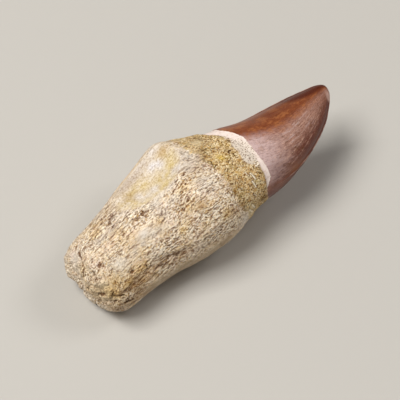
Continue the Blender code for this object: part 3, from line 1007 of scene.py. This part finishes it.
def toothFinish():
    material, shader = newMaterial("fossilTooth", 0.8)
    straight = attribute("straight", "FLOAT_VECTOR")
    grain = attribute("grain", "FLOAT_VECTOR")
    masks = zoneMasks(straight)
    shift = seedVector(reliefSettings["Seed"])
    bone = bonePatterns(grain, reliefSettings["Pore Spacing"], shift)
    fibres = fibrePatterns(straight, grain, bone["sway"], shift)
    crust, crustCrumb = crustColour(straight)
    enamel, streak, crumb = enamelColour(attribute("meridian", "FLOAT_VECTOR"))
    collarTone = noise(straight, 1.2, 4.0, 0.6)
    collar = layered(collarFinish, "skin", [("shade", fade(collarTone, 0.48, 0.72, 0.0, 0.6))])
    spongy = fade(total(mark("porous"), product(bone["pits"], 0.6)), 0.55, 0.85)
    speckle = fade(cells(straight, cellSettings["collarSpecks"])["Distance"], 0.46, 0.22)

    colour = boneColour(straight, bone, fibres, masks)
    dish = dishColour(straight, bone, fibres)
    dishMask = product(masks["dishTint"], 0.92)
    for mask, over in ((dishMask, dish), (masks["crust"], crust), (masks["collar"], collar)):
        colour = tint(mask, colour, over)
    colour = layered(collarFinish, colour, [("bone", spongy, 0.85), ("hollow", spongy, speckle, 0.9)])
    join(tint(masks["enamel"], colour, enamel), shader.inputs["Base Color"])

    rough = fade(masks["enamel"], 0.0, 1.0, 0.86, 0.36)
    rough = calc("SUBTRACT", rough, product(masks["collar"], 0.25))
    rough = calc("SUBTRACT", rough, product(masks["dish"], 0.18))
    rough = total(rough, product(centred(crumb), 0.35))
    join(rough, shader.inputs["Roughness"])

    boneHeight = total(product(fade(bone["pits"], 0.30, 0.60), 0.06), product(fibres["weave"], 0.24),
                       product(fibres["dots"], -0.09), product(fibres["round"], -0.11))
    grit = cells(straight, cellSettings["crustGrit"])["Distance"]
    heights = {
        "bone": product(boneHeight, inverse(product(attribute("closeGrain"), 0.7))),
        "crust": total(product(grit, -0.12), product(crustCrumb, 0.25)),
        "enamel": total(product(streak, 0.02), product(crumb, 0.03)),
        "collar": product(pattern("collar grain", straight, (0.0, 0.0, 0.0)), 0.05),
    }
    height = total(*[product(level, masks[zone]) for zone, level in heights.items()])
    addBump(shader, height, mm)
    return material


reliefSettings["Material"] = toothFinish()
fossilTooth = runGeometryTree(toothSkin, reliefTree(reliefSettings), reliefSettings, "fossilTooth")
print("relief carved:", len(fossilTooth.data.polygons), "faces")


# Loose sand still held in the crust.
sandSettings = {
    "Density": 4.5e6,  # grains to the square metre of full crust
    "Grain Size": 0.20,  # mm
    "Seed": 3,
}
sandColours = {"dark": "9b7f48", "mid": "cdb076", "light": "ecdcb4", "dirt": "8a6d3c"}


def sandFinish():
    material, shader = newMaterial("matrixSand", 0.88)
    tone = attribute("grainTone")
    dust = noise(newNode("ShaderNodeTexCoord").outputs["Object"], 2500.0, 3.0, 0.6)
    colour = layered(sandColours, "dark", [
        ("mid", fade(tone, 0.0, 0.5)),
        ("light", fade(tone, 0.6, 1.0)),
        ("dirt", fade(dust, 0.4, 0.7, 0.0, 0.4)),
    ])
    join(colour, shader.inputs["Base Color"])
    join(fade(dust, 0.3, 0.7, 0.75, 0.95), shader.inputs["Roughness"])
    addBump(shader, dust, 0.05 * mm)
    return material


def randomVector(seed, low, high):
    given = {0: low, 1: high, "Seed": seed}
    return newNode("FunctionNodeRandomValue", given, data_type="FLOAT_VECTOR").outputs[0]


def sandTree(settings):
    tree, given = newGeometryTree("sandScatter", settings)
    seed = given["Seed"]
    straight = attribute("straight", "FLOAT_VECTOR")
    patchy = fade(noise(straight, 0.45, 2.0), 0.35, 0.65, 0.35, 1.0)
    density = product(given["Density"], zoneMasks(straight)["crust"], patchy)
    scatter = newNode("GeometryNodeDistributePointsOnFaces",
                      {"Mesh": given["Geometry"], "Density": density, "Seed": seed})
    grain = newNode("GeometryNodeMeshIcoSphere", {"Radius": 0.5 * mm, "Subdivisions": 1})
    size = randomVector(calc("ADD", seed, 1.0), (0.55, 0.55, 0.45), (1.25, 1.10, 1.0))
    instances = newNode("GeometryNodeInstanceOnPoints", {
        "Points": scatter.outputs["Points"],
        "Instance": grain.outputs["Mesh"],
        "Rotation": randomVector(seed, (0.0, 0.0, 0.0), (math.tau, math.tau, math.tau)),
        "Scale": scaled(size, given["Grain Size"]),
    })
    tone = newNode("FunctionNodeRandomValue", {"Seed": calc("ADD", seed, 2.0)}, data_type="FLOAT")
    store = newNode("GeometryNodeStoreNamedAttribute",
                    {"Geometry": instances.outputs[0], "Name": "grainTone", "Value": tone.outputs[1]},
                    data_type="FLOAT", domain="INSTANCE")
    closeGeometryTree(store.outputs[0], given["Material"])
    return tree


sandSettings["Material"] = sandFinish()
matrixGrains = runGeometryTree(fossilTooth, sandTree(sandSettings), sandSettings, "matrixGrains")
print("sand grains:", len(matrixGrains.data.polygons), "faces")
bpy.data.objects.remove(toothSkin)

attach(fossilTooth, "root")
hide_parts("tooth")
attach(matrixGrains, "root")


# Table, light and camera, with places and sizes in metres unless a note says mm.
stageSettings = {
    "middleRadius": 0.001,
    "flatRadius": 1.0,
    "bend": 0.5,
    "bendSteps": 9,
    "wallHeight": 0.9,
    "sides": 96,
    "colour": "bdbab4",
}


def paleFloor(settings):
    # a round table whose rim sweeps up into a wall, so every low view has a plain ground
    flat, bend, sides = settings["flatRadius"], settings["bend"], settings["sides"]
    profile = [(settings["middleRadius"], 0.0), (flat, 0.0)]
    for turn in np.radians(np.linspace(0, 90, settings["bendSteps"] + 1))[1:]:
        profile.append((flat + bend * math.sin(turn), bend * (1 - math.cos(turn))))
    profile.append((flat + bend, bend + settings["wallHeight"]))
    angles = [math.tau * step / sides for step in range(sides)]
    points = [(radius * math.cos(angle), radius * math.sin(angle), height)
              for radius, height in profile for angle in angles]
    faces = []
    for base in range(0, (len(profile) - 1) * sides, sides):
        for step in range(sides):
            following = (step + 1) % sides
            faces.append((base + step, base + sides + step, base + sides + following, base + following))
    faces.append(tuple(range(sides)))
    mesh = bpy.data.meshes.new("paleFloor")
    mesh.from_pydata(points, [], faces)
    mesh.shade_smooth()
    floor = linkedObject("paleFloor", mesh)
    material, shader = newMaterial("paleFloor", 0.9)
    shader.inputs["Base Color"].default_value = hexColour(settings["colour"])
    mesh.materials.append(material)


lightSettings = {
    # place, size, power in watts, colour
    "keySoft": ((-0.46, 0.22, 1.08), (0.7, 0.5), 15.4, (1.0, 0.98, 0.95)),
    "crownGlow": ((0.80, -0.44, 1.09), (0.55, 0.45), 4.6, (1.0, 0.97, 0.96)),
}
roomSettings = {"colour": (0.93, 0.95, 1.0, 1.0), "strength": 0.14, "lampsAimAt": (0, 0, 0.01)}


def studioLight(settings, room):
    for name, (place, size, power, colour) in settings.items():
        lamp = bpy.data.lights.new(name, "AREA")
        lamp.shape = "RECTANGLE"
        lamp.size, lamp.size_y = size
        lamp.energy = power
        lamp.color = colour
        holder = linkedObject(name, lamp)
        holder.location = place
        aim = Vector(room["lampsAimAt"]) - Vector(place)
        holder.rotation_euler = aim.to_track_quat("-Z", "Y").to_euler()
        holder.visible_camera = False
    world = bpy.data.worlds.new("softRoom")
    world.use_nodes = True
    backdrop = world.node_tree.nodes["Background"]
    backdrop.inputs["Color"].default_value = room["colour"]
    backdrop.inputs["Strength"].default_value = room["strength"]
    bpy.context.scene.world = world


cameraSettings = {
    "turn": 42.0,  # degrees round from the near long side
    "height": 55.0,  # degrees above the table
    "distance": 500.0,  # mm
    "lens": 180.0,  # mm, as the sensor's width is
    "sensor": 36.0,
    "target": (-2.11, -1.72, 10.90),  # mm
    "seesFrom": 0.01,
    "seesTo": 20.0,
}


def studioCamera(settings):
    turn, height = math.radians(settings["turn"]), math.radians(settings["height"])
    level = math.cos(height)
    towards = Vector((-math.sin(turn) * level, -math.cos(turn) * level, math.sin(height)))
    data = bpy.data.cameras.new("studioCamera")
    data.lens = settings["lens"]
    data.sensor_width = settings["sensor"]
    data.clip_start = settings["seesFrom"]
    data.clip_end = settings["seesTo"]
    camera = linkedObject("studioCamera", data)
    camera.location = (Vector(settings["target"]) + towards * settings["distance"]) * mm
    camera.rotation_euler = (-towards).to_track_quat("-Z", "Y").to_euler()
    bpy.context.scene.camera = camera


paleFloor(stageSettings)
studioLight(lightSettings, roomSettings)
studioCamera(cameraSettings)
bpy.context.scene.view_settings.view_transform = "Standard"
print("stage, light and camera set")
